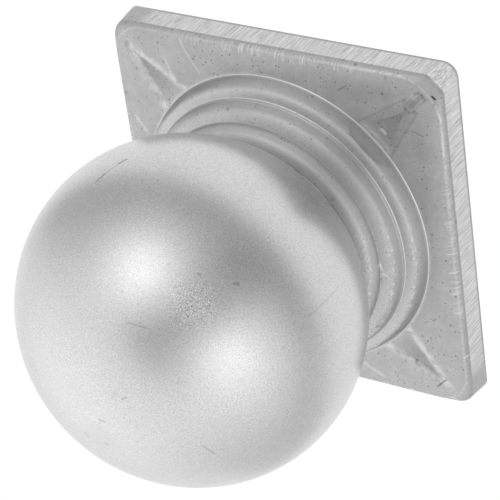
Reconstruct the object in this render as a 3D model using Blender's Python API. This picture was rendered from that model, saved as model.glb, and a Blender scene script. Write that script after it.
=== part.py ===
"""Ball-topped steel post cap, the finial that closes the top of a square fence or gate post.

Two pieces. The cap is pressed from one steel sheet: a downturned skirt that slips over the
post, a nearly flat face with an arrowhead pressed into each corner, and three rings that
step up to a round opening. The hollow ball, a little flatter than a sphere, is welded into
that opening. Metres, +Z up, standing on the skirt's rim, origin under the ball's centre.
"""

import math

import bmesh
import bpy
from mathutils import Vector

MM = 0.001

# Sheet and skirt
SHEET = 2.5 * MM
SIDE = 108.0 * MM
SKIRT_HEIGHT = 8.3 * MM

# Each corner is rounded its own way, and two are ground off by hand as well: the corners towards
# +X +Y, -X +Y, -X -Y and +X -Y
RIM_CORNER_RADII = (4.2 * MM, 2.8 * MM, 3.2 * MM, 2.8 * MM)
FOLD_CORNER_RADII = (4.2 * MM, 5.2 * MM, 3.2 * MM, 4.6 * MM)
GROUND_OFF_AT_RIM = (1.5 * MM, 0.0 * MM, 1.3 * MM, 0.0 * MM)
GROUND_OFF_AT_FOLD = (3.3 * MM, 0.0 * MM, 2.6 * MM, 0.0 * MM)

# Fold between skirt and face
FOLD_RISE = 2.6 * MM
FOLD_INSET = 1.2 * MM
FACE_CORNER_RADIUS = 10.0 * MM
FACE_CORNER_DROP = 0.4 * MM
INNER_FOLD = 1.0 * MM

# The face rises from the fold in to the outer crease: part of it in a roll beside the fold, the
# rest, the lean, evenly
FACE_RISE = 1.7 * MM
FACE_ROLL = 6.3 * MM
FACE_ROLL_POWER = 2.2
FACE_LEAN = 0.45
FACE_ROW = 0.6

# Rings, from the outer one in: each is a crease, then a wall that rounds over to the next crease
RING_WIDTHS = (4.6 * MM, 4.7 * MM, 3.9 * MM)
RING_RISES = (5.4 * MM, 5.7 * MM, 4.9 * MM)

# Ball
BALL_RADIUS = 49.5 * MM
BALL_HALF_HEIGHT = 46.3 * MM
SEAT_RADIUS = 33.0 * MM
SEAT_GAP = 0.3 * MM

# Arrowhead pressed into each corner, placed along the diagonal from the square's sharp corner
# inwards, with its foot beside the outer crease
STEM_END_INSET = 7.4 * MM
ARROW_NECK_INSET = 12.6 * MM
ARROW_POINT_INSET = 16.0 * MM
ARROW_FOOT_GAP = 1.1 * MM
ARROW_FOOT_HALF = 6.5 * MM
ARROW_NECK_HALF = 2.6 * MM
ARROW_LEG_WIDTH = 1.8 * MM
ARROW_DEPTH = 1.0 * MM
ARROW_FOOT_DEPTH = 0.3 * MM
STEM_HALF = 1.9 * MM
STEM_DEPTH = 0.5 * MM
RING_FLAT_INSET = 1.4 * MM
RING_FLAT_RISE = 3.7 * MM

# Facets
CORNER_STEPS = 11
CORNER_CROWDING = 1.8
FOLD_STEPS = 4
RING_STEPS = 5
UNDERSIDE_STEPS = 3
BALL_SEGMENTS = 48
BALL_ROWS = 24

NOT_GROUND = (0.0,) * 4

half_side = SIDE / 2
face_radii = (FACE_CORNER_RADIUS,) * 4
edge_height = SKIRT_HEIGHT + FOLD_RISE
crease_heights = [edge_height + FACE_RISE]
for rise in RING_RISES:
    crease_heights.append(crease_heights[-1] + rise)
opening_radius = SEAT_RADIUS + SEAT_GAP
crease_radii = [opening_radius]
for width in reversed(RING_WIDTHS):
    crease_radii.insert(0, crease_radii[0] + width)
seat_height = crease_heights[-1]
ball_below_centre = BALL_HALF_HEIGHT * math.sqrt(1 - (SEAT_RADIUS / BALL_RADIUS) ** 2)
ball_centre = seat_height + ball_below_centre
sharp_corner = half_side * math.sqrt(2)
stem_end = sharp_corner - STEM_END_INSET
arrow_neck = sharp_corner - ARROW_NECK_INSET
arrow_point = sharp_corner - ARROW_POINT_INSET
arrow_foot = crease_radii[0] + ARROW_FOOT_GAP


def clear_scene():
    for old in list(bpy.data.objects):
        bpy.data.objects.remove(old, do_unlink=True)


def steel(name, value, roughness):
    material = bpy.data.materials.new(name)
    material.use_nodes = True
    shader = material.node_tree.nodes["Principled BSDF"]
    shader.inputs["Base Color"].default_value = (value, value, value, 1)
    shader.inputs["Metallic"].default_value = 1.0
    shader.inputs["Roughness"].default_value = roughness
    return material


def add_object(name, mesh_builder, material=None):
    mesh = bpy.data.meshes.new(name)
    mesh_builder.to_mesh(mesh)
    mesh_builder.free()
    made = bpy.data.objects.new(name, mesh)
    if material:
        mesh.materials.append(material)
    return made


def loop_angles():
    """Polar angles round the cap, crowded towards the four corners."""
    angles = []
    for corner in range(4):
        middle = math.radians(45 + 90 * corner)
        for step in range(-CORNER_STEPS, CORNER_STEPS):
            share = abs(step / CORNER_STEPS) ** CORNER_CROWDING
            angles.append(middle + math.copysign(share, step) * math.pi / 4)
    return angles


def square_reach(angle, half, corner_radius, ground_off):
    """Distance from the middle to a square's edge, its corners rounded and then ground off."""
    across, up = abs(math.cos(angle)), abs(math.sin(angle))
    reach = half / max(across, up)
    straight = half - corner_radius
    if min(across, up) * reach > straight:
        along = straight * (across + up)
        reach = along + math.sqrt(corner_radius**2 - 2 * straight**2 + along**2)
    facet = (half * math.sqrt(2) - ground_off) / ((across + up) / math.sqrt(2))
    return min(reach, facet)


def square_loop(half, corner_radii, grounds, height, corner_drop=0.0):
    """A closed row of points, with each corner's own rounding, and lower there by corner_drop."""
    row = []
    for i, angle in enumerate(loop_angles()):
        corner = i // (2 * CORNER_STEPS)
        reach = square_reach(angle, half, corner_radii[corner], grounds[corner])
        share = max(0.0, (reach / half - 1) / (math.sqrt(2) - 1))
        level = height - corner_drop * min(share, 1.0)
        row.append(Vector((reach * math.cos(angle), reach * math.sin(angle), level)))
    return row


def round_loop(radius, height):
    return [
        Vector((radius * math.cos(angle), radius * math.sin(angle), height))
        for angle in loop_angles()
    ]


def fold_loops():
    """The outer side of the skirt and the fold that turns it into the face."""
    low = square_loop(half_side, FOLD_CORNER_RADII, GROUND_OFF_AT_FOLD, SKIRT_HEIGHT)
    face_half = half_side - FOLD_INSET
    high = square_loop(face_half, face_radii, NOT_GROUND, edge_height, FACE_CORNER_DROP)
    rows = [square_loop(half_side, RIM_CORNER_RADII, GROUND_OFF_AT_RIM, 0.0), low]
    for step in range(1, FOLD_STEPS + 1):
        turn = math.pi / 2 * step / FOLD_STEPS
        inward, upward = 1 - math.cos(turn), math.sin(turn)
        row = []
        for a, b in zip(low, high):
            x, y = a.x + (b.x - a.x) * inward, a.y + (b.y - a.y) * inward
            row.append(Vector((x, y, a.z + (b.z - a.z) * upward)))
        rows.append(row)
    return rows


def face_level(reach, edge_reach, edge_level, squareness):
    """Height of the cap's face between the fold's edge and the outer crease."""
    share = (edge_reach - reach) / (edge_reach - crease_radii[0])
    rolled = max(0.0, 1 - (edge_reach - reach) * squareness / FACE_ROLL)
    fall = (1 - FACE_LEAN) * rolled**FACE_ROLL_POWER + FACE_LEAN * (1 - share)
    return crease_heights[0] - (crease_heights[0] - edge_level) * fall


def face_loop(lower):
    """A row of points on the face's roll, or on its underside when lower is the sheet."""
    row = []
    face_half = half_side - FOLD_INSET
    for point in square_loop(face_half, face_radii, NOT_GROUND, edge_height, FACE_CORNER_DROP):
        edge_reach = math.hypot(point.x, point.y)
        squareness = max(abs(point.x), abs(point.y)) / edge_reach
        reach = edge_reach - FACE_ROW * FACE_ROLL / squareness
        level = face_level(reach, edge_reach, point.z, squareness) - lower
        row.append(Vector((point.x * reach / edge_reach, point.y * reach / edge_reach, level)))
    return row


def ring_loops():
    """The three rings from above, from the outer crease up to the edge of the opening."""
    rows = [round_loop(crease_radii[0], crease_heights[0])]
    for ring in range(len(RING_WIDTHS)):
        wide = crease_radii[ring] - crease_radii[ring + 1]
        tall = crease_heights[ring + 1] - crease_heights[ring]
        for step in range(1, RING_STEPS + 1):
            turn = math.pi / 2 * step / RING_STEPS
            radius = crease_radii[ring + 1] + wide * math.cos(turn)
            rows.append(round_loop(radius, crease_heights[ring] + tall * math.sin(turn)))
    return rows


def underside_loops():
    """The same rings one sheet thickness lower, from the opening out to the skirt's rim."""
    rows = []
    for ring in reversed(range(len(RING_WIDTHS))):
        wide = crease_radii[ring] - crease_radii[ring + 1] - SHEET
        tall = crease_heights[ring + 1] - crease_heights[ring] - SHEET
        for step in range(UNDERSIDE_STEPS, -1, -1):
            turn = math.pi / 2 * step / UNDERSIDE_STEPS
            radius = crease_radii[ring + 1] + wide * math.cos(turn)
            rows.append(round_loop(radius, crease_heights[ring] + tall * math.sin(turn)))
    rows.append(round_loop(crease_radii[0], crease_heights[0] - SHEET))
    rows.append(face_loop(SHEET))
    inner = half_side - SHEET
    below_face = edge_height - SHEET
    rows.append(
        square_loop(inner - INNER_FOLD, face_radii, NOT_GROUND, below_face, FACE_CORNER_DROP)
    )
    below_fold = below_face - INNER_FOLD
    fold_radii = [max(radius - SHEET, INNER_FOLD) for radius in FOLD_CORNER_RADII]
    rim_radii = [max(radius - SHEET, INNER_FOLD) for radius in RIM_CORNER_RADII]
    rows.append(square_loop(inner, fold_radii, GROUND_OFF_AT_FOLD, below_fold))
    rows.append(square_loop(inner, rim_radii, GROUND_OFF_AT_RIM, 0.0))
    return rows


def closed_shell(rows):
    """A ring-shaped solid whose cross-section is the given rows, one after another."""
    shape = bmesh.new()
    made = [[shape.verts.new(point) for point in row] for row in rows]
    count = len(rows[0])
    for row, after in zip(made, made[1:] + made[:1]):
        for i in range(count):
            j = (i + 1) % count
            shape.faces.new((row[i], row[j], after[j], after[i]))
    bmesh.ops.recalc_face_normals(shape, faces=shape.faces)
    return shape


def face_height(along):
    """Height of the cap's face on a corner's diagonal."""
    face_half = half_side - FOLD_INSET
    end = square_reach(math.pi / 4, face_half, FACE_CORNER_RADIUS, 0.0)
    corner_share = (end / face_half - 1) / (math.sqrt(2) - 1)
    edge_level = edge_height - FACE_CORNER_DROP * corner_share
    return face_level(along, end, edge_level, math.sqrt(0.5))


def hull(name, points, corner, group):
    """A helper solid round some points, given as along, across and height at one corner."""
    shape = bmesh.new()
    turn = math.radians(45 + 90 * corner)
    for along, across, height in points:
        x = along * math.cos(turn) - across * math.sin(turn)
        y = along * math.sin(turn) + across * math.cos(turn)
        shape.verts.new((x, y, height))
    bmesh.ops.convex_hull(shape, input=shape.verts)
    bmesh.ops.delete(shape, geom=[v for v in shape.verts if not v.link_faces], context="VERTS")
    bmesh.ops.recalc_face_normals(shape, faces=shape.faces)
    helper = add_object(f"{name}_{corner}", shape)
    helper.hide_render = True
    helper.display_type = "WIRE"
    group.objects.link(helper)


def arrowhead(lower, grow, above):
    """Sunken triangle: sloping legs round a floor that is deepest at the arrow's point."""
    foot_floor_half = ARROW_FOOT_HALF - ARROW_LEG_WIDTH
    points = []
    for side in (-1, 1):
        for lift in (0.0, above):
            neck = face_height(arrow_neck) - lower + lift
            foot = face_height(arrow_foot) - lower + lift
            points.append((arrow_neck + grow, side * (ARROW_NECK_HALF + grow), neck))
            points.append((arrow_foot, side * (ARROW_FOOT_HALF + grow), foot))
        floor = face_height(arrow_foot) - lower - ARROW_FOOT_DEPTH
        points.append((arrow_foot, side * foot_floor_half, floor))
    points.append((arrow_point, 0.0, face_height(arrow_point) - lower - ARROW_DEPTH))
    return points


def stem(lower, grow, above):
    """Short straight trench with a round end, from the arrowhead's neck to near the corner."""
    points = []
    end = stem_end - STEM_HALF
    level = min(face_height(arrow_neck), face_height(end))
    for middle in (arrow_neck - STEM_HALF, end):
        for step in range(12):
            turn = math.tau * step / 12
            along = middle + (STEM_HALF + grow) * math.cos(turn)
            across = (STEM_HALF + grow) * math.sin(turn)
            points.append((along, across, level - lower - STEM_DEPTH))
            points.append((along, across, level - lower + above))
    return points


def ring_flat():
    """Block whose inner side leaves a flat on the outer ring's wall, above the face."""
    outer = crease_radii[0]
    inner = outer - RING_FLAT_INSET
    low, high = crease_heights[0], crease_heights[0] + RING_RISES[0]
    wide = math.sqrt(outer**2 - inner**2) + SHEET
    points = []
    for side in (-1, 1):
        points.append((outer, side * wide, low))
        points.append((inner, side * wide, low + RING_FLAT_RISE))
        points.append((inner, side * wide, high))
        points.append((outer + SHEET, side * wide, low))
        points.append((outer + SHEET, side * wide, high))
    return points


def add_boolean(target, operation, group):
    modifier = target.modifiers.new(group.name, "BOOLEAN")
    modifier.operation = operation
    modifier.operand_type = "COLLECTION"
    modifier.collection = group
    modifier.solver = "EXACT"


def make_cap():
    """One pressed sheet: skirt, fold, face, rings and the four arrowheads, hollow below."""
    rows = fold_loops() + [face_loop(0.0)] + ring_loops() + underside_loops()
    cap = add_object("cap_plate", closed_shell(rows), steel("raw_steel", 0.46, 0.42))
    bpy.context.scene.collection.objects.link(cap)

    bumps = bpy.data.collections.new("pressed_bumps")
    dents = bpy.data.collections.new("pressed_dents")
    for group in (bumps, dents):
        bpy.context.scene.collection.children.link(group)
    overlap = SHEET / 5
    for corner in range(4):
        hull("bump", arrowhead(SHEET, overlap, overlap), corner, bumps)
        hull("stem_bump", stem(SHEET, overlap, overlap), corner, bumps)
        hull("dent", arrowhead(0.0, 0.0, SHEET), corner, dents)
        hull("stem_dent", stem(0.0, 0.0, SHEET), corner, dents)
        hull("ring_flat", ring_flat(), corner, dents)
    add_boolean(cap, "UNION", bumps)
    add_boolean(cap, "DIFFERENCE", dents)


def make_ball():
    """Hollow in the real thing and closed all round, so it is solid here."""
    shape = bmesh.new()
    bmesh.ops.create_uvsphere(
        shape, u_segments=BALL_SEGMENTS, v_segments=BALL_ROWS, radius=BALL_RADIUS
    )
    for vert in shape.verts:
        vert.co.z *= BALL_HALF_HEIGHT / BALL_RADIUS
    ball = add_object("ball", shape, steel("satin_steel", 0.62, 0.3))
    ball.location.z = ball_centre
    bpy.context.scene.collection.objects.link(ball)


clear_scene()
make_cap()
make_ball()
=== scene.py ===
"""Ball-topped steel post cap: a pressed square cap with three rings, and a hollow ball fixed in
its round opening. Bare steel on a white ground, in the soft light of a white photographic tent."""

import math

import bpy
import numpy as np
from mathutils import Matrix, Vector


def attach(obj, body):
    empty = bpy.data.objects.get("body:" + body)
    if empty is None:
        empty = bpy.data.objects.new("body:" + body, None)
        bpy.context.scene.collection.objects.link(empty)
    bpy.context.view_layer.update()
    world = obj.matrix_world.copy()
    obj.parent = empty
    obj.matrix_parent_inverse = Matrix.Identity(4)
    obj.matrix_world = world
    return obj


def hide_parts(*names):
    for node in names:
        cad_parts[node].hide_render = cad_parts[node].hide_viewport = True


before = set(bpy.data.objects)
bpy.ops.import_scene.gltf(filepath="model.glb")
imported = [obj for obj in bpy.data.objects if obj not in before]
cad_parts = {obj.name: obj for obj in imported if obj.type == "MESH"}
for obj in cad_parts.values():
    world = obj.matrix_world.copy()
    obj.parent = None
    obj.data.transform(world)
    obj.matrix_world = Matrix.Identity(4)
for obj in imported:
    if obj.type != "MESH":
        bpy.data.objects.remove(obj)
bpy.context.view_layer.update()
MM = 0.001
scene = bpy.context.scene

# Camera: a long lens above one corner of the cap, rolled well over, so that the ball hangs
# towards the lower left of the picture.
camera_place = Vector((0.36333, 0.38345, 0.51983))
camera_aim = Vector((0.00195, 0.00313, 0.0350))
camera_roll = math.radians(134.116)
forward = (camera_aim - camera_place).normalized()
level_right = forward.cross(Vector((0, 0, 1))).normalized()
level_up = level_right.cross(forward)
up = level_up * math.cos(camera_roll) + level_right * math.sin(camera_roll)
camera = bpy.data.objects.new("camera", bpy.data.cameras.new("camera"))
camera.data.sensor_width = 36
camera.data.lens = 183.18
camera.data.clip_start, camera.data.clip_end = 0.01, 20
camera.matrix_world = Matrix((forward.cross(up), up, -forward)).transposed().to_4x4()
camera.matrix_world.translation = camera_place
scene.collection.objects.link(camera)
scene.camera = camera
scene.view_settings.view_transform = "Standard"


# Light: a white tent all round. Two soft lamps and the back wall glow through the cloth, the tall
# opening for the camera, over the nearest corner, is dark, and so is the foot of the walls.
def plug(tree, value, socket):
    """Links an output to a socket, or sets the socket to a plain value."""
    if isinstance(value, bpy.types.NodeSocket):
        tree.links.new(value, socket)
    else:
        socket.default_value = value


def calc(tree, operation, *values):
    """A Math node on outputs or numbers."""
    made = tree.nodes.new("ShaderNodeMath")
    made.operation = operation
    for value, socket in zip(values, made.inputs):
        plug(tree, value, socket)
    return made.outputs[0]


def plus(tree, a, b):
    """The sum of two values."""
    return calc(tree, "ADD", a, b)


def minus(tree, a, b):
    """The first value less the second."""
    return calc(tree, "SUBTRACT", a, b)


def times(tree, first, *others):
    """A product, such as a mask that is 1 only where all of its parts are."""
    for other in others:
        first = calc(tree, "MULTIPLY", first, other)
    return first


def most(tree, first, *others):
    """The greatest of several values."""
    for other in others:
        first = calc(tree, "MAXIMUM", first, other)
    return first


def vector_calc(tree, operation, *values, output=0):
    """A Vector Math node on outputs, vectors or numbers."""
    made = tree.nodes.new("ShaderNodeVectorMath")
    made.operation = operation
    for value, socket in zip(values, made.inputs):
        plug(tree, value, socket)
    return made.outputs[output]


def fade(tree, value, start, end):
    """From 0 at start to 1 at end, with a soft beginning and a soft end."""
    made = tree.nodes.new("ShaderNodeMapRange")
    made.interpolation_type = "SMOOTHSTEP"
    for number, given in enumerate((value, start, end, 0.0, 1.0)):
        plug(tree, given, made.inputs[number])
    return made.outputs[0]


def bell(tree, value, width):
    """1 where the value is 0, falling away softly on both sides."""
    share = calc(tree, "DIVIDE", value, width)
    return calc(tree, "EXPONENT", times(tree, share, share, -1.0))


def toward(tree, look, azimuth, height):
    """How nearly a direction points to this azimuth and height: 1 when it does."""
    a, h = math.radians(azimuth), math.radians(height)
    middle = (math.cos(a) * math.cos(h), math.sin(a) * math.cos(h), math.sin(h))
    return vector_calc(tree, "DOT_PRODUCT", look, middle, output=1)


def glow(tree, look, azimuth, height, spread, strength):
    """Extra light from one side of the tent, down to half at spread degrees off its middle."""
    sharp = math.log(2) / (1 - math.cos(math.radians(spread)))
    near = minus(tree, toward(tree, look, azimuth, height), 1.0)
    near = calc(tree, "EXPONENT", times(tree, near, sharp))
    return times(tree, near, strength)


tent = bpy.data.worlds.new("white_tent")
scene.world = tent
tent.use_nodes = True
tree = tent.node_tree
look = tree.nodes.new("ShaderNodeTexCoord").outputs["Generated"]
cloth_light, least_light = 0.78, 0.05
opening_half_width, opening_shade = 0.38, 0.31
foot_half_height, foot_shade = 0.46, 0.18
light = cloth_light
for azimuth, height, spread, strength in (
    (99, 43, 12, 0.42),  # lamp on the far side, and its softer edge below
    (101, 38, 20, 0.66),
    (1, 42, 12, 0.34),  # lamp on the near side, and its softer edge below
    (-8, 37, 24, 0.50),
    (-144, 30, 46, 0.50),  # back wall
    (-40, 0, 50, 0.18),  # light thrown back by the near wall
    (150, 5, 28, -0.12),  # gap beside the back wall
    (50, 75, 17, -0.17),  # seam in the roof
    (-85, 5, 18, -0.12),  # shade low on the side wall
):
    light = plus(tree, light, glow(tree, look, azimuth, height, spread, strength))
opening = bell(tree, toward(tree, look, 135, 0), opening_half_width)
opening = times(tree, opening, fade(tree, toward(tree, look, 45, 0), -0.22, 0.04))
light = minus(tree, light, times(tree, opening, opening_shade))
wall_foot = bell(tree, plus(tree, toward(tree, look, 0, 90), 0.12), foot_half_height)
wall_foot = times(tree, wall_foot, fade(tree, toward(tree, look, -135, 0), 0.9, 0.3))
light = minus(tree, light, times(tree, wall_foot, foot_shade))
tree.nodes["Background"].inputs["Color"].default_value = (1, 1, 1, 1)
plug(tree, most(tree, light, least_light), tree.nodes["Background"].inputs["Strength"])


# Pressed cap: one steel sheet. A downturned skirt slips over the post, an arrowhead is pressed
# into each corner of the face, and three rings step up to the opening that holds the ball. The
# skirt and its corners are ground bright, and the rest keeps the dull skin of rolled steel.
sheet = 2.5
half_side = 54.0
skirt_height = 8.3
corner_radii_at_rim = (4.2, 2.8, 3.2, 2.8)
corner_radii_at_fold = (4.2, 5.2, 3.2, 4.6)
ground_off_at_rim = (1.5, 0, 1.3, 0)
ground_off_at_fold = (3.3, 0, 2.6, 0)
fold_rise, fold_inset = 2.6, 1.2
face_corner_radii, face_corner_drop = (13.0, 10.0, 13.0, 10.0), 0.4
inner_fold = 1.0
crease_radii = (46.5, 41.9, 37.2, 33.3)
crease_heights = (12.6, 18.0, 23.7, 28.6)
arrow_foot, arrow_point, arrow_neck = 47.6, 60.4, 63.8
arrow_foot_half, arrow_neck_half, arrow_leg_width = 6.5, 2.6, 1.8
arrow_depth, arrow_foot_depth = 1.0, 0.3
stem_end, stem_half, stem_depth = 69.0, 1.9, 0.5
ring_shoulders = ((45.15, 17.55), (41.3, 22.3), (36.8, 27.1))
ring_fullness = (3.0, 2.2, 2.2)
ring_flat_along, ring_flat_top = 44.9, 16.1
face_roll, face_roll_power, face_lean = 6.3, 2.2, 0.45
fold_end = math.radians(76)
facet_softness = 0.5
rim_break_in, rim_break_up = 0.04, 0.12
edge_height = skirt_height + fold_rise
steps_per_half_corner, corner_crowding = 66, 1.25
fold_rows, outer_face_rows, fold_crowding = 15, 56, 1.2
ring_climbs = (0.012, *np.linspace(0, 1, 14)[1:-1], 0.985, 1)  # close together at the creases
inner_ring_rows, inner_face_rows, inner_fold_rows = 8, 28, 5

steps = np.arange(-steps_per_half_corner, steps_per_half_corner)
shares = np.sign(steps) * np.abs(steps / steps_per_half_corner) ** corner_crowding
turns = np.concatenate([np.pi / 4 * (1 + 2 * k + shares) for k in range(4)])
corner_turns = np.tile(shares * np.pi / 4, 4)
rim_radii, fold_radii, face_radii, rim_offs, fold_offs = (
    np.repeat(sizes, len(steps))
    for sizes in (
        corner_radii_at_rim,
        corner_radii_at_fold,
        face_corner_radii,
        ground_off_at_rim,
        ground_off_at_fold,
    )
)
flat_cos, flat_sin = np.abs(np.cos(turns)), np.abs(np.sin(turns))
flat_across = np.maximum(flat_cos, flat_sin)


def square_reach(half, radius, ground_off):
    """How far the edge of a square with rounded, ground corners is at each turn."""
    reach = half / flat_across
    straight = half - radius
    along = straight * (flat_cos + flat_sin)
    rounded = along + np.sqrt(np.maximum(radius**2 - 2 * straight**2 + along**2, 0))
    in_corner = np.minimum(flat_cos, flat_sin) * reach > straight
    reach = np.where(in_corner, rounded, reach)
    facet = (half * math.sqrt(2) - ground_off) / np.cos(corner_turns)
    both_near = np.clip(0.5 + (facet - reach) / (2 * facet_softness), 0, 1)
    soft = reach * both_near + facet * (1 - both_near) - facet_softness * both_near * (1 - both_near)
    return np.where(ground_off > 0, soft, reach)


def soft_step(value, start, end):
    """From 0 at start to 1 at end, with a soft beginning and a soft end."""
    share = np.clip((value - start) / (end - start), 0, 1)
    return share * share * (3 - 2 * share)


# How fast the outline of an arrowhead and of the hollow in it narrow towards the corner.
outer_slope = (arrow_foot_half - arrow_neck_half) / (arrow_neck - arrow_foot)
inner_slope = (arrow_foot_half - arrow_leg_width) / (arrow_point - arrow_foot)


def pressed_depth(u, v):
    """Depth of the arrowhead and its stem at a place along and across a corner's diagonal."""
    v = np.abs(v)
    outer = arrow_neck_half + (arrow_neck - u) * outer_slope
    inner = np.maximum(arrow_point - u, 0) * inner_slope
    in_from_side = (outer - v) / np.maximum(outer - inner, 0.1)
    in_from_end = (arrow_neck - u) / (arrow_neck - arrow_point)
    full = np.clip((u - arrow_foot) / (arrow_point - arrow_foot), 0, 1)
    full = arrow_foot_depth + (arrow_depth - arrow_foot_depth) * full
    depth = full * np.clip(np.minimum(in_from_side, in_from_end), 0, 1)
    depth = depth * soft_step(np.hypot(u, v), crease_radii[0] + 0.1, arrow_foot + 1)
    past_end = np.hypot(np.maximum(u - (stem_end - stem_half), 0), v)
    trench = stem_depth * (1 - soft_step(past_end, stem_half - 1.0, stem_half + 0.2))
    trench = trench * soft_step(u, arrow_point - 1.5, arrow_point + 0.5)
    return np.maximum(depth, trench)


def row(reach, height):
    """One ring of points round the cap, in millimetres."""
    reach, height = np.broadcast_arrays(reach, height, turns)[:2]
    return np.stack([reach * np.cos(turns), reach * np.sin(turns), height], axis=1)


def corner_level(reach, half, height):
    """The face's edge, a little lower towards the corners."""
    corner = np.clip((reach / half - 1) / (math.sqrt(2) - 1), 0, 1)
    return height - face_corner_drop * corner


def face_rows(edge_reach, edge_level, inner_level, count):
    """Rows from the fold in to the outer crease, with the arrowheads pressed in."""
    made = []
    for share in np.linspace(0, 1, count) ** fold_crowding:
        reach = edge_reach + (crease_radii[0] - edge_reach) * share
        rolled_in = np.clip(1 - (edge_reach - reach) * flat_across / face_roll, 0, 1)
        fall = (1 - face_lean) * rolled_in**face_roll_power + face_lean * (1 - share)
        level = inner_level - (inner_level - edge_level) * fall
        u, v = reach * np.cos(corner_turns), reach * np.sin(corner_turns)
        made.append(row(reach, level - pressed_depth(u, v)))
    return made


# Rows of points: up the skirt, over the fold, in across the face, up the rings, and back down
# inside them to the rim.
rows = []
for height, back_off in ((0, rim_break_in), (rim_break_up, 0), (2, 0), (4, 0), (6, 0), (7.6, 0)):
    share = height / skirt_height
    ground_off = rim_offs + (fold_offs - rim_offs) * share
    radius = rim_radii + (fold_radii - rim_radii) * share
    rows.append(row(square_reach(half_side, radius, ground_off) - back_off, height))
low = square_reach(half_side, fold_radii, fold_offs)
high = square_reach(half_side - fold_inset, face_radii, 0.0)
high_level = corner_level(high, half_side - fold_inset, edge_height)
for turn in np.linspace(0, fold_end, fold_rows)[:-1]:
    reach = low + (high - low) * (1 - math.cos(turn)) / (1 - math.cos(fold_end))
    climb = math.sin(turn) / math.sin(fold_end)
    rows.append(row(reach, skirt_height + (high_level - skirt_height) * climb))
rows += face_rows(high, high_level, crease_heights[0], outer_face_rows)
for ring in range(3):
    foot, top = (np.array((crease_radii[step], crease_heights[step])) for step in (ring, ring + 1))
    for climb in ring_climbs:
        pull = 2 * ring_fullness[ring] * climb * (1 - climb)
        weights = (1 - climb) ** 2, pull, climb**2
        reach, level = np.average((foot, ring_shoulders[ring], top), axis=0, weights=weights)
        if ring == 0:
            share = min((level - crease_heights[0]) / (ring_flat_top - crease_heights[0]), 1)
            flat = ring_flat_along / np.cos(corner_turns)
            reach = np.minimum(reach, crease_radii[0] + (flat - crease_radii[0]) * share)
        rows.append(row(reach, level))
for ring in (2, 1, 0):
    wide = crease_radii[ring] - crease_radii[ring + 1] - sheet
    tall = crease_heights[ring + 1] - crease_heights[ring] - sheet
    for turn in np.linspace(math.pi / 2, 0, inner_ring_rows):
        reach = crease_radii[ring + 1] + wide * math.cos(turn)
        rows.append(row(reach, crease_heights[ring] + tall * math.sin(turn)))
inner = half_side - sheet
face_inner = square_reach(inner - inner_fold, face_radii, 0.0)
inner_level = corner_level(face_inner, inner - inner_fold, edge_height - sheet)
rows += face_rows(face_inner, inner_level, crease_heights[0] - sheet, inner_face_rows)[::-1]
low_inner = square_reach(inner, np.maximum(fold_radii - sheet, inner_fold), fold_offs)
for turn in np.linspace(math.pi / 2, 0, inner_fold_rows)[1:]:
    reach = low_inner + (face_inner - low_inner) * (1 - math.cos(turn))
    base = edge_height - sheet - inner_fold
    rows.append(row(reach, base + (inner_level - base) * math.sin(turn)))
rim_inner = square_reach(inner, np.maximum(rim_radii - sheet, inner_fold), rim_offs)
rows += [row(rim_inner, rim_break_up), row(rim_inner + rim_break_up, 0.0)]

count, around = len(rows), len(turns)
first = np.arange(count)[:, None] * around + np.arange(around)
after = np.roll(first, -1, axis=1)
quads = np.stack([first, after, np.roll(after, -1, axis=0), np.roll(first, -1, axis=0)], axis=-1)
cap_mesh = bpy.data.meshes.new("pressed_cap")
cap_mesh.from_pydata((np.concatenate(rows) * MM).tolist(), [], quads.reshape(-1, 4).tolist())
cap_mesh.shade_smooth()
cap = bpy.data.objects.new("pressed_cap", cap_mesh)
scene.collection.objects.link(cap)


def noise(tree, place, scale, detail, rough):
    """Fine or broad cloudiness, as many patches to the millimetre as scale says."""
    made = tree.nodes.new("ShaderNodeTexNoise")
    plug(tree, place, made.inputs["Vector"])
    for name, given in (("Scale", scale), ("Detail", detail), ("Roughness", rough)):
        made.inputs[name].default_value = given
    return made.outputs["Fac"]


def blend(tree, share, a, b):
    """a where share is 0 and b where it is 1."""
    made = tree.nodes.new("ShaderNodeMix")
    for number, given in ((0, share), (2, a), (3, b)):
        plug(tree, given, made.inputs[number])
    return made.outputs[0]


def outside(tree, mask):
    """1 where a mask is 0, and 0 where it is 1."""
    return minus(tree, 1.0, mask)


def hypotenuse(tree, a, b):
    """How far away a place is that lies a one way and b the other."""
    return calc(tree, "SQRT", plus(tree, times(tree, a, a), times(tree, b, b)))


def parts(tree, vector):
    """The x, y and z of a vector."""
    made = tree.nodes.new("ShaderNodeSeparateXYZ")
    tree.links.new(vector, made.inputs[0])
    return made.outputs


def steel(name):
    """A bare metal material, its tree, its shader, and the place on the piece in millimetres."""
    made = bpy.data.materials.new(name)
    made.use_nodes = True
    tree = made.node_tree
    shader = tree.nodes["Principled BSDF"]
    shader.inputs["Metallic"].default_value = 1.0
    corners = tree.nodes.new("ShaderNodeTexCoord").outputs["Object"]
    return made, tree, shader, vector_calc(tree, "MULTIPLY", corners, (1000, 1000, 1000))


def tint(tree, shader, value):
    """A plain grey of this lightness."""
    made = tree.nodes.new("ShaderNodeCombineColor")
    for number in range(3):
        plug(tree, value, made.inputs[number])
    tree.links.new(made.outputs[0], shader.inputs["Base Color"])


def raise_grain(tree, shader, height, depth):
    """Bump, with its height given in millimetres."""
    made = tree.nodes.new("ShaderNodeBump")
    made.inputs["Strength"].default_value = 1.0
    made.inputs["Distance"].default_value = depth * MM
    plug(tree, height, made.inputs["Height"])
    tree.links.new(made.outputs[0], shader.inputs["Normal"])


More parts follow.
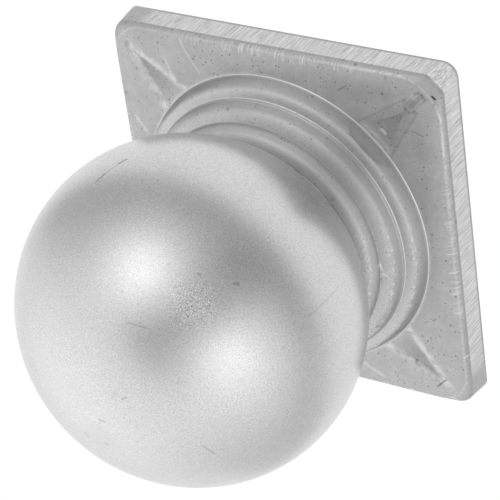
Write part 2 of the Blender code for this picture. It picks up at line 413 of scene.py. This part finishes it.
def pits(tree, place, spacing, size, share):
    """Small round specks, in a share of the cells of a rough grid."""
    made = tree.nodes.new("ShaderNodeTexVoronoi")
    plug(tree, place, made.inputs["Vector"])
    made.inputs["Scale"].default_value = 1 / spacing
    split = tree.nodes.new("ShaderNodeSeparateColor")
    tree.links.new(made.outputs["Color"], split.inputs[0])
    chosen = calc(tree, "LESS_THAN", split.outputs[0], share)
    reach = times(tree, plus(tree, split.outputs[1], 0.5), size / spacing)
    return times(tree, chosen, outside(tree, fade(tree, made.outputs["Distance"], 0.0, reach)))


def scratch(tree, place, start, end, width, facing=(0, 0, 1)):
    """1 on a thin line between two places of a surface that faces this way, and 0 beside it."""
    run = Vector(end) - Vector(start)
    beside = run.cross(Vector(facing)).normalized()
    offset = vector_calc(tree, "SUBTRACT", place, tuple(start))
    share = vector_calc(tree, "DOT_PRODUCT", offset, tuple(run / run.length_squared), output=1)
    gap = calc(tree, "ABSOLUTE", vector_calc(tree, "DOT_PRODUCT", offset, tuple(beside), output=1))
    far = vector_calc(tree, "LENGTH", offset, output=1)
    here = times(tree, fade(tree, share, 0.0, 0.2), fade(tree, share, 1.0, 0.8))
    here = times(tree, here, fade(tree, far, run.length * 1.5, run.length * 1.2))
    return times(tree, here, outside(tree, fade(tree, gap, 0.0, width)))


def scratches(tree, place, marks):
    """The strongest of several scratches: where each starts and ends, its width and its strength."""
    strongest = 0.0
    for start, end, width, strength, *facing in marks:
        mark = scratch(tree, place, start, end, width, *facing)
        strongest = most(tree, strongest, times(tree, mark, strength))
    return strongest


cap_steel, tree, shader, place = steel("rolled_steel")
x, y, z = parts(tree, place)
near_x, near_y = calc(tree, "ABSOLUTE", x), calc(tree, "ABSOLUTE", y)
side = most(tree, near_x, near_y)
along = times(tree, plus(tree, near_x, near_y), math.sqrt(0.5))
across = times(tree, calc(tree, "ABSOLUTE", minus(tree, near_x, near_y)), math.sqrt(0.5))
radius = hypotenuse(tree, x, y)
facing_up = parts(tree, tree.nodes.new("ShaderNodeTexCoord").outputs["Normal"])[2]

# Where the belt ground it: the four sides of the skirt, and a facet on two opposite corners.
to_ground_corner = fade(tree, times(tree, x, y), -500.0, 500.0)
facet_lean = (ground_off_at_fold[0] - ground_off_at_rim[0]) / skirt_height
facet_at = calc(tree, "MULTIPLY_ADD", z, -facet_lean, half_side * math.sqrt(2) - ground_off_at_rim[0])
on_facet = times(tree, fade(tree, minus(tree, along, facet_at), -0.7, -0.3), to_ground_corner)
rounding_from, rounding_to = 67.0, 71.5
on_rounding = fade(tree, along, rounding_from, rounding_to)
on_rounding = times(tree, on_rounding, outside(tree, to_ground_corner))
on_side = fade(tree, side, half_side - 0.15, half_side - 0.05)
on_side = times(tree, on_side, outside(tree, on_rounding))
below_fold = fade(tree, z, skirt_height + 0.05, skirt_height - 0.1)
ground = times(tree, most(tree, on_facet, on_side), below_fold)

# Rolled skin: cloudy and finely grained, with dark specks that crowd together in places.
rolled_grey, speck_grey = 0.40, 0.17
clouds = noise(tree, place, 0.09, 4.0, 0.6)
patches = noise(tree, place, 0.35, 3.0, 0.6)
grain = noise(tree, place, 2.2, 3.0, 0.6)
dots = times(tree, pits(tree, place, 0.95, 0.34, 0.55), fade(tree, patches, 0.44, 0.60))
specks = most(tree, pits(tree, place, 4.5, 0.6, 0.5), pits(tree, place, 1.7, 0.34, 0.38), dots)
rolled = plus(tree, rolled_grey, times(tree, clouds, 0.15))
rolled = plus(tree, rolled, times(tree, minus(tree, patches, 0.5), 0.13))
rolled = plus(tree, rolled, times(tree, minus(tree, grain, 0.5), 0.16))
rolled = blend(tree, specks, rolled, speck_grey)

# Ground steel: upright streaks, coarse and fine, with a dark rim below.
ground_grey, rim_grey = 0.40, 0.3
streaks_at = vector_calc(tree, "MULTIPLY", place, (1.0, 1.0, 0.03))
streaks = fade(tree, noise(tree, streaks_at, 2.8, 2.0, 0.6), 0.36, 0.64)
fine_streaks = fade(tree, noise(tree, streaks_at, 5.5, 2.0, 0.6), 0.38, 0.62)
brushed = plus(tree, ground_grey, times(tree, streaks, 0.16))
brushed = plus(tree, brushed, times(tree, fine_streaks, 0.22))
brushed = blend(tree, times(tree, fade(tree, z, 1.3, 0.5), 0.8), brushed, rim_grey)

# Painted shade along the fold, at the foot of the two lower rings, in the third crease and on the flats
# of the lowest ring, and painted highlights: thin bright lines along the two lower creases and a soft
# brightening of the face just outside the lowest one.
painted_shade = times(
    tree,
    fade(tree, side, half_side - 1.6, half_side - 0.6),
    fade(tree, z, edge_height - 0.9, skirt_height + 0.3),
)
# Painted highlight: the face brightens towards the lowest crease, and thin bright lines lie along the
# two lower creases.
crease_highlight = times(tree, fade(tree, radius, arrow_foot, crease_radii[0] + 0.1), 0.25)
for crease, width in ((crease_radii[0], 0.27), (crease_radii[1], 0.25)):
    inside = minus(tree, crease, radius)
    foot = times(tree, fade(tree, inside, -0.1, 0.15), fade(tree, inside, 2.0, 0.4))
    painted_shade = most(tree, painted_shade, foot)
    gap = calc(tree, "ABSOLUTE", minus(tree, inside, 0.03))
    crease_highlight = most(tree, crease_highlight, fade(tree, gap, width, 0.09))
# Painted shade on the flats of the lowest ring, and in the third crease.
flat_half, flat_drop = 10.0, 4.0
flat_height = calc(tree, "POWER", calc(tree, "DIVIDE", across, flat_half), 6.0)
flat_height = calc(tree, "MULTIPLY_ADD", flat_height, -flat_drop, ring_flat_top - 0.1)
on_flat = times(
    tree,
    fade(tree, radius, crease_radii[0], crease_radii[0] - 0.2),
    fade(tree, radius, ring_flat_along - 0.3, ring_flat_along),
    fade(tree, across, flat_half - 0.1, flat_half - 0.7),
    fade(tree, minus(tree, flat_height, z), -0.2, 0.2),
)
gap = calc(tree, "ABSOLUTE", minus(tree, radius, crease_radii[2] + 0.05))
top_crease_shade = times(tree, fade(tree, gap, 0.4, 0.1), 1.8)
painted_shade = most(tree, painted_shade, times(tree, on_flat, 1.6), top_crease_shade)
painted_shade = times(tree, painted_shade, fade(tree, z, skirt_height - 0.2, skirt_height + 0.2))
crease_highlight = times(tree, crease_highlight, fade(tree, z, crease_heights[0] - 0.3, crease_heights[0] - 0.1))

# Arrowheads: painted shade on the floor, inside the outline and in the stem's trench, a painted
# highlight on the legs with painted shade along their outer edges, and furrows along the stem.
outer_edge = calc(tree, "MULTIPLY_ADD", along, -outer_slope, arrow_neck_half + arrow_neck * outer_slope)
inner_edge = calc(tree, "MULTIPLY_ADD", along, -inner_slope, arrow_point * inner_slope)
from_outer = minus(tree, outer_edge, across)
flat_face = fade(tree, radius, crease_radii[0] + 0.2, arrow_foot)
on_face = times(tree, flat_face, fade(tree, z, edge_height - 1.2, edge_height - 0.9))
# Painted shade on the arrow's floor: soft at two corners, sharp-edged at the corners with a ground
# facet.
soft_floor = times(
    tree,
    fade(tree, from_outer, 1.9, 3.0),
    fade(tree, along, 46.0, 55.0),
    fade(tree, along, 66.5, 63.5),
)
sharp_floor = fade(tree, minus(tree, inner_edge, across), -0.2, 0.3)
sharp_floor = times(tree, sharp_floor, fade(tree, along, 46.0, 57.0))
arrow_floor_shade = times(tree, blend(tree, to_ground_corner, soft_floor, sharp_floor), on_face)
leg_middle = blend(tree, to_ground_corner, 1.2, 0.8)
leg_spread = blend(tree, to_ground_corner, 1.2, 0.9)
# Painted highlight on the legs: patchy, and strongest at the two corners without a ground facet.
leg_highlight = times(
    tree,
    bell(tree, minus(tree, from_outer, leg_middle), leg_spread),
    on_face,
    fade(tree, along, 70.0, 66.0),
    fade(tree, patches, 0.30, 0.60),
    blend(tree, to_ground_corner, 1.1, 0.35),
)
# Painted shade along the outer edges of the legs, inside the outline and in the stem's trench, striped
# by furrows there, at the two corners with a ground facet.
leg_edge_shade = times(tree, bell(tree, from_outer, 0.35), fade(tree, along, 65.0, 64.0))
leg_edge_shade = times(tree, leg_edge_shade, on_face, to_ground_corner)
arrow_shade = times(
    tree,
    fade(tree, from_outer, -0.2, 0.4),
    fade(tree, along, 66.0, 64.5),
    fade(tree, along, 47.0, 51.0),
    on_face,
    to_ground_corner,
)
furrows = fade(tree, calc(tree, "SINE", times(tree, across, 5.2)), -1.2, 1.2)
stem_shade_and_furrows = times(
    tree,
    fade(tree, across, stem_half + 0.2, stem_half - 0.5),
    fade(tree, along, 62.0, 64.5),
    fade(tree, along, stem_end + 0.2, stem_end - 0.6),
    calc(tree, "MULTIPLY_ADD", furrows, 0.6, 0.4),
    to_ground_corner,
)

# Fold: a painted highlight along the ridge round the corners, brighter towards the nearest corner, and
# short bright ticks across the straight edges.
crown_inset, crown_width = 0.7, 0.32
crown_radius = blend(tree, to_ground_corner, face_corner_radii[1], face_corner_radii[0])
crown_centre = minus(tree, half_side - crown_inset, crown_radius)
past_x = most(tree, minus(tree, near_x, crown_centre), 0.0)
past_y = most(tree, minus(tree, near_y, crown_centre), 0.0)
crown_highlight = times(
    tree,
    bell(tree, minus(tree, hypotenuse(tree, past_x, past_y), crown_radius), crown_width),
    fade(tree, noise(tree, place, 0.8, 4.0, 0.7), 0.36, 0.54),
    blend(tree, fade(tree, plus(tree, x, y), 70.0, 88.0), 0.5, 1.0),
)
by_y = calc(tree, "GREATER_THAN", near_y, near_x)
stretch, drawn_out = tree.nodes.new("ShaderNodeCombineXYZ"), 0.06
for number, share in enumerate((by_y, outside(tree, by_y), 0.0)):
    share = calc(tree, "MULTIPLY_ADD", share, 1 - drawn_out, drawn_out)
    plug(tree, share, stretch.inputs[number])
ticks_at = vector_calc(tree, "MULTIPLY", place, stretch.outputs[0])
ticks = times(
    tree,
    fade(tree, noise(tree, ticks_at, 2.4, 1.0, 0.5), 0.56, 0.66),
    fade(tree, side, half_side - 2.8, half_side - 1.8),
    fade(tree, z, edge_height - 1.9, edge_height - 1.1),
    fade(tree, calc(tree, "MINIMUM", near_x, near_y), 34.0, 24.0),
    fade(tree, noise(tree, place, 0.12, 1.0, 0.5), 0.38, 0.55),
)

# Painted light and shade: brighter towards the nearest corner and wherever the sheet faces up, and
# painted shade in the hollows.
corner_light = times(tree, flat_face, fade(tree, plus(tree, x, y), 48.0, 68.0), 0.16)
corner_light = times(tree, corner_light, fade(tree, side, half_side - 3, half_side - 10))
on_rings = fade(tree, radius, crease_radii[2] - 0.3, crease_radii[2] + 0.4)
on_rings = calc(tree, "MULTIPLY_ADD", on_rings, 0.05, 0.11)
top_light = times(tree, fade(tree, facing_up, 0.80, 0.97), blend(tree, flat_face, on_rings, 0.06))
rolled = times(tree, rolled, plus(tree, plus(tree, corner_light, top_light), 0.97))
shaded_hollows = (painted_shade, 0.14), (arrow_shade, 0.11), (arrow_floor_shade, 0.22), (stem_shade_and_furrows, 0.30), (leg_edge_shade, 0.16)
for mask, depth in shaded_hollows:
    rolled = times(tree, rolled, calc(tree, "MULTIPLY_ADD", mask, -depth, 1.0))
highlight_grey, marks_shown = 0.62, 0.9
rolled = blend(tree, times(tree, leg_highlight, 0.8), rolled, highlight_grey)
# Light flecks: small scratches, placed as painted glints where the rings lean as their lit crest does.
crest_lean = 0.70
flecks_at = vector_calc(tree, "MULTIPLY", place, (1.0, 0.4, 0.5))
glint_flecks = times(
    tree,
    fade(tree, noise(tree, flecks_at, 2.2, 2.0, 0.5), 0.52, 0.62),
    bell(tree, minus(tree, facing_up, crest_lean), 0.22),
    fade(tree, y, 17.0, 4.0),
    fade(tree, radius, crease_radii[0] + 0.1, crease_radii[0] - 0.3),
)
# Painted glints, the painted highlight along the fold and the bright ticks, blended in.
for mask, bright in ((glint_flecks, 0.70), (crown_highlight, 0.68), (ticks, 0.68)):
    rolled = blend(tree, times(tree, mask, marks_shown), rolled, bright)

# Scratches, nicks and a gouge: where each starts and ends, how wide it is and how plain.
light_scratch_grey, dark_scratch_grey = 0.80, 0.05
dark_marks = scratches(
    tree,
    place,
    (
        ((51.0, 48.9, 10), (52.5, 47.6, 10), 0.5, 1.0),  # gouge on the nearest corner
        ((22.3, 45.9, 12), (25.8, 48.4, 12), 0.35, 0.4),
        ((44.4, 37.9, 12), (48.8, 36.3, 12), 0.3, 0.45),  # hair line beside the arrow
        ((43.7, -48.9, 12), (47.6, -45.1, 12), 0.5, 0.6),  # across the neck of another arrow
    ),
)
light_marks = scratches(
    tree,
    place,
    (
        ((34.2, -52.2, 10), (35.5, -53.4, 10), 0.5, 0.9),
        ((53.0, -36.8, 10), (54.3, -36.5, 10), 0.35, 0.7),
        ((34.8, 36.6, 12), (36.8, 34.8, 12), 0.8, 1.0),  # bright floor of the nearest arrow
        ((-30.5, 53.6, 12), (-22.1, 41.9, 12), 0.6, 0.35),
        ((-35.8, 47.1, 12), (-31.9, 38.8, 12), 0.6, 0.35),
        ((-49.8, 24.8, 12), (-44.5, 18.4, 12), 1.2, 0.35),
        ((18.5, -45.0, 12), (27.5, -50.2, 12), 1.4, 0.35),
        ((47.4, -52.2, 11), (50.0, -52.9, 11), 0.6, 0.5),
        ((37.3, 0.2, 23.2), (37.7, -2.7, 23.2), 0.5, 1.0),  # nick on the upper crease
        ((37.2, -3.3, 22.5), (39.1, -4.6, 22.5), 0.5, 1.0),
        ((7.6, 36.8, 17.5), (9.0, 35.2, 17.5), 0.4, 0.6),
    ),
)
rolled = blend(tree, light_marks, rolled, light_scratch_grey)
rolled = blend(tree, dark_marks, rolled, dark_scratch_grey)

# The cap's grey, gloss and grain, from its rolled and ground steel and the painted highlights along the
# creases together.
rolled_roughness, leg_roughness, ground_roughness, crease_line_roughness = 0.50, 0.38, 0.34, 0.3
grain_depth = 0.03
lightness = blend(tree, ground, rolled, brushed)
tint(tree, shader, blend(tree, crease_highlight, lightness, highlight_grey))
dull = plus(tree, rolled_roughness, times(tree, clouds, 0.12))
dull = blend(tree, leg_highlight, dull, leg_roughness)
roughness = blend(tree, ground, dull, ground_roughness)
plug(tree, blend(tree, crease_highlight, roughness, crease_line_roughness), shader.inputs["Roughness"])
height = blend(tree, ground, times(tree, grain, 0.5), plus(tree, streaks, fine_streaks))
raise_grain(tree, shader, minus(tree, height, times(tree, specks, 1.5)), grain_depth)

cap_mesh.materials.append(cap_steel)
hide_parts("cap_plate")
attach(cap, "root")


# Ball: two pressed halves welded into a hollow ball, a little flatter than a true sphere, ground
# smooth and brushed to a satin. It sits in the opening at the top of the rings.
ball_steel, tree, shader, place = steel("satin_steel")
ball_grey, ball_scratch_grey = 0.59, 0.25
ball_roughness, ball_grain_depth = 0.22, 0.03
rough_patch, dim_patch_middle = (25.0, 28.0, 93.8), (27.0, 25.0, 93.0)
smear_middle = (-2.0, -13.5, 107.6)
clouds = noise(tree, place, 0.05, 3.0, 0.55)
smudges = fade(tree, noise(tree, place, 0.10, 5.0, 0.62), 0.52, 0.72)
grain = noise(tree, place, 2.7, 3.0, 0.65)
dots = times(tree, pits(tree, place, 1.1, 0.3, 0.4), fade(tree, clouds, 0.40, 0.60))
from_patch = vector_calc(tree, "DISTANCE", place, rough_patch, output=1)
coarse = calc(tree, "MULTIPLY_ADD", fade(tree, from_patch, 9.0, 3.0), 1.6, 1.0)
# Painted shade: a dimmer patch on the ball between the two lamps' reflections.
from_dim_patch = vector_calc(tree, "DISTANCE", place, dim_patch_middle, output=1)
ball_dim_patch = fade(tree, from_dim_patch, 11.0, 4.0)
lightness = plus(tree, ball_grey, times(tree, clouds, 0.08))
lightness = plus(tree, lightness, times(tree, minus(tree, grain, 0.5), coarse, 0.62))
for mask, depth in ((ball_dim_patch, 0.035), (smudges, 0.03), (dots, 0.12)):
    lightness = minus(tree, lightness, times(tree, mask, depth))

# Scratches on the ball, each with the way that the ball faces there, and a smear on its top.
ball_marks = scratches(
    tree,
    place,
    (
        ((-14.9, 45.4, 75.4), (-10.8, 48.2, 66.4), 0.5, 0.6, (-0.3, 0.9, 0.2)),  # the long one
        ((-12.2, 47.5, 69.0), (-10.2, 48.4, 66.0), 0.8, 1.4, (-0.3, 0.9, 0.2)),
        ((-15.0, 45.2, 76.0), (-13.6, 46.7, 71.8), 0.7, 1.2, (-0.3, 0.9, 0.2)),
        ((45.2, 15.7, 74.9), (46.5, 16.5, 58.9), 0.5, 0.35, (0.9, 0.3, 0)),  # faint, beside the rings
        ((23.8, 33.9, 88.5), (25.2, 33.2, 88.1), 0.5, 0.8, (0.5, 0.7, 0.5)),
        ((31.9, 30.2, 84.6), (33.3, 29.5, 83.4), 0.7, 0.9, (0.7, 0.6, 0.4)),
        ((9.1, 24.1, 102.7), (15.9, 22.9, 101.4), 0.45, 0.6, (0.3, 0.5, 0.8)),
        ((8.2, 3.2, 108.7), (10.4, 4.3, 108.2), 0.4, 0.8, (0.2, 0.1, 1)),
        ((-0.7, -5.4, 109.1), (2.2, -5.7, 109.1), 0.6, 0.8, (0, -0.1, 1)),
        ((-7.6, -12.4, 107.4), (-6.9, -15.4, 106.6), 0.8, 0.6, (-0.1, -0.3, 1)),
        ((-1.5, -14.5, 107.4), (-0.3, -15.5, 107.1), 0.7, 0.9, (0, -0.3, 1)),
        ((25.9, -11.8, 101.0), (28.1, -16.8, 97.9), 0.7, 0.6, (0.5, -0.3, 0.8)),
    ),
)
from_smear = vector_calc(tree, "DISTANCE", place, smear_middle, output=1)
smear = times(tree, fade(tree, from_smear, 8.0, 2.0), fade(tree, grain, 0.45, 0.62))
ball_marks = most(tree, ball_marks, times(tree, smear, 0.35))
tint(tree, shader, blend(tree, times(tree, ball_marks, 0.6), lightness, ball_scratch_grey))
dull = plus(tree, ball_roughness, times(tree, clouds, 0.12))
plug(tree, plus(tree, dull, times(tree, smudges, 0.03)), shader.inputs["Roughness"])
raise_grain(tree, shader, times(tree, grain, coarse), ball_grain_depth)

# The ball's shape: a round grid flattened to its height and lifted to rest in the opening.
ball_radius, ball_half_height, seat_radius = 49.5, 46.3, 33.0
ball_segments, ball_rows = 288, 192
ball_centre = crease_heights[3] + ball_half_height * math.sqrt(1 - (seat_radius / ball_radius) ** 2)
ball_tree = bpy.data.node_groups.new("flattened_ball", "GeometryNodeTree")
sockets = ball_tree.interface
for name, kind in (
    ("Radius", "NodeSocketFloat"),
    ("Half Height", "NodeSocketFloat"),
    ("Centre Height", "NodeSocketFloat"),
    ("Segments", "NodeSocketInt"),
    ("Rows", "NodeSocketInt"),
    ("Material", "NodeSocketMaterial"),
):
    sockets.new_socket(name, in_out="INPUT", socket_type=kind)
sockets.new_socket("Ball", in_out="OUTPUT", socket_type="NodeSocketGeometry")
given = ball_tree.nodes.new("NodeGroupInput").outputs
sphere = ball_tree.nodes.new("GeometryNodeMeshUVSphere")
ball_tree.links.new(given["Segments"], sphere.inputs["Segments"])
ball_tree.links.new(given["Rows"], sphere.inputs["Rings"])
sphere.inputs["Radius"].default_value = 1.0
size = ball_tree.nodes.new("ShaderNodeCombineXYZ")
lift = ball_tree.nodes.new("ShaderNodeCombineXYZ")
for number, name in enumerate(("Radius", "Radius", "Half Height")):
    ball_tree.links.new(given[name], size.inputs[number])
ball_tree.links.new(given["Centre Height"], lift.inputs[2])
placed = ball_tree.nodes.new("GeometryNodeTransform")
ball_tree.links.new(sphere.outputs["Mesh"], placed.inputs["Geometry"])
ball_tree.links.new(size.outputs[0], placed.inputs["Scale"])
ball_tree.links.new(lift.outputs[0], placed.inputs["Translation"])
smooth = ball_tree.nodes.new("GeometryNodeSetShadeSmooth")
whole = ball_tree.nodes.new("GeometryNodeRealizeInstances")
painted = ball_tree.nodes.new("GeometryNodeSetMaterial")
ball_tree.links.new(given["Material"], painted.inputs["Material"])
out = ball_tree.nodes.new("NodeGroupOutput")
for a, b in zip((placed, smooth, whole, painted), (smooth, whole, painted, out)):
    ball_tree.links.new(a.outputs[0], b.inputs[0])


def grown(name, tree, **sizes):
    """The plain mesh that a Geometry Nodes tree makes from the sizes given by name."""
    holder = bpy.data.objects.new(name, bpy.data.meshes.new(name))
    scene.collection.objects.link(holder)
    modifier = holder.modifiers.new(name, "NODES")
    modifier.node_group = tree
    for socket in tree.interface.items_tree:
        if socket.in_out == "INPUT":
            modifier[socket.identifier] = sizes[socket.name.replace(" ", "_").lower()]
    graph = bpy.context.evaluated_depsgraph_get()
    mesh = bpy.data.meshes.new_from_object(holder.evaluated_get(graph))
    holder.modifiers.remove(modifier)
    holder.data = mesh
    return holder


ball = grown(
    "satin_ball",
    ball_tree,
    radius=ball_radius * MM,
    half_height=ball_half_height * MM,
    centre_height=ball_centre * MM,
    segments=ball_segments,
    rows=ball_rows,
    material=ball_steel,
)
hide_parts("ball")
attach(ball, "root")


# Floor: a sheet of white paper, lit evenly from below and above, so that it takes no shadow.
floor_half, paper_gap, paper_white = 1.5, 0.0002, 1.025
floor_mesh = bpy.data.meshes.new("white_ground")
signs = ((-1, -1), (1, -1), (1, 1), (-1, 1))
corners = [(a * floor_half, b * floor_half, -paper_gap) for a, b in signs]
floor_mesh.from_pydata(corners, [], [(0, 1, 2, 3)])
floor = bpy.data.objects.new("white_ground", floor_mesh)
scene.collection.objects.link(floor)
paper = bpy.data.materials.new("white_paper")
paper.use_nodes = True
tree = paper.node_tree
tree.nodes.remove(tree.nodes["Principled BSDF"])
paper_light = tree.nodes.new("ShaderNodeEmission")
tree.links.new(paper_light.outputs[0], tree.nodes["Material Output"].inputs["Surface"])
where = tree.nodes.new("ShaderNodeTexCoord").outputs["Object"]
reach = vector_calc(tree, "LENGTH", where, output=1)


def lies_toward(azimuth):
    """How nearly a place on the paper lies this way from the middle: 1 when it does."""
    return calc(tree, "DIVIDE", toward(tree, where, azimuth, 0), reach)


# Away from the back wall the paper lies in the shade, deepest below the opening, and so does
# a narrow strip of it beside the cap.
dark = calc(tree, "MULTIPLY_ADD", fade(tree, lies_toward(45), 0.3, 1.0), 0.25, 0.32)
dark = calc(tree, "MULTIPLY_ADD", fade(tree, lies_toward(140), 0.3, 1.0), 0.14, dark)
shade = times(tree, fade(tree, reach, 0.125, 0.26), fade(tree, lies_toward(-132), 0.85, 0.4), dark)
beside = times(tree, fade(tree, lies_toward(-68), 0.84, 0.98), fade(tree, reach, 0.13, 0.19))
shade = most(tree, shade, times(tree, beside, 0.24))
paper_light.inputs["Color"].default_value = (1, 1, 1, 1)
plug(tree, minus(tree, paper_white, shade), paper_light.inputs["Strength"])
floor_mesh.materials.append(paper)
